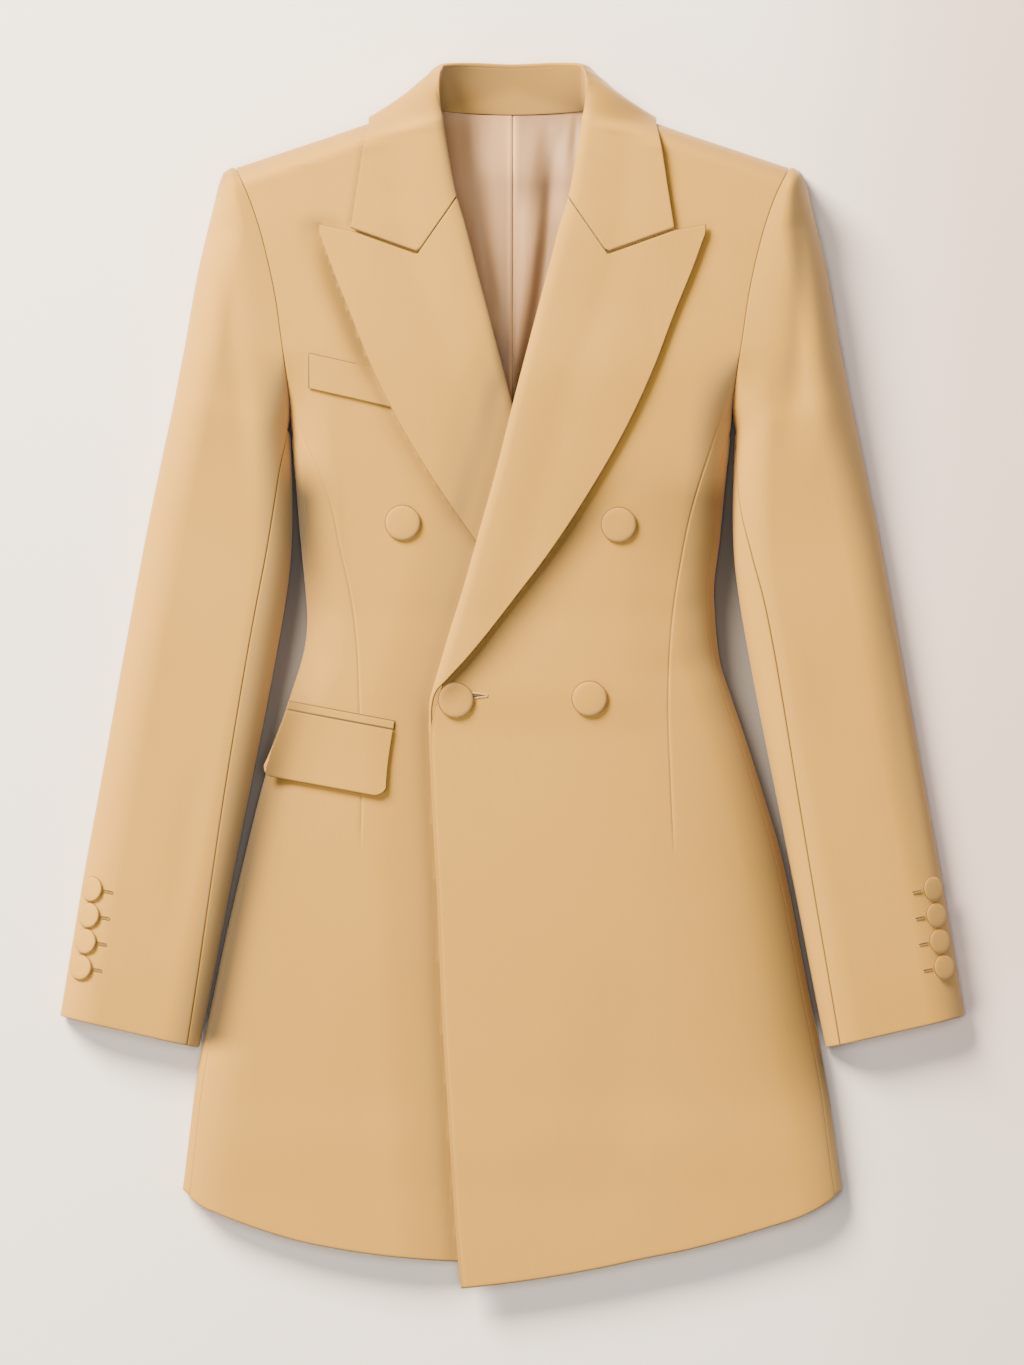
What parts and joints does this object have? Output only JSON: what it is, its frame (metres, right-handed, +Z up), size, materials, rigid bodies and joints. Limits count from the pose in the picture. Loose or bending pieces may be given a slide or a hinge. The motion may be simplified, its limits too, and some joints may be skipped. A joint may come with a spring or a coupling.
{
  "type": "double breasted blazer",
  "caption": "Long tailored double-breasted jacket laid flat on its back, with peaked lapels rolled open, a flap pocket, a breast welt and cloth-covered buttons.",
  "frame": {"origin": "middle of the bounding box's underside, on the surface the garment lies on", "axes": "+Z up out of the front of the garment, +Y from hem to collar, +X towards the wearer's left"},
  "size_m": [0.634, 0.8571, 0.0567],
  "materials": {
    "camel_cloth": "smooth fine camel suiting with a soft sheen",
    "lining_satin": "satin lining, pinkish beige",
    "button_cloth": "buttons covered in the same suiting"
  },
  "bodies": {
    "root": {"front_left": "camel_cloth", "front_right": "camel_cloth", "side_left": "camel_cloth", "side_right": "camel_cloth", "back_left": "camel_cloth", "back_right": "camel_cloth", "lapel_left": "camel_cloth", "lapel_right": "camel_cloth", "collar_fall": "camel_cloth", "collar_stand": "camel_cloth", "sleeve_upper_left": "camel_cloth", "sleeve_upper_right": "camel_cloth", "sleeve_under_left": "camel_cloth", "sleeve_under_right": "camel_cloth", "chest_welt": "camel_cloth", "pocket_jet": "camel_cloth", "pocket_flap": "camel_cloth", "lining_left": "lining_satin", "lining_right": "lining_satin", "button_front_1": "button_cloth", "button_front_2": "button_cloth", "button_front_3": "button_cloth", "button_front_4": "button_cloth", "button_cuff_left_1": "button_cloth", "button_cuff_left_2": "button_cloth", "button_cuff_left_3": "button_cloth", "button_cuff_left_4": "button_cloth", "button_cuff_right_1": "button_cloth", "button_cuff_right_2": "button_cloth", "button_cuff_right_3": "button_cloth", "button_cuff_right_4": "button_cloth"}
  },
  "joints": []
}
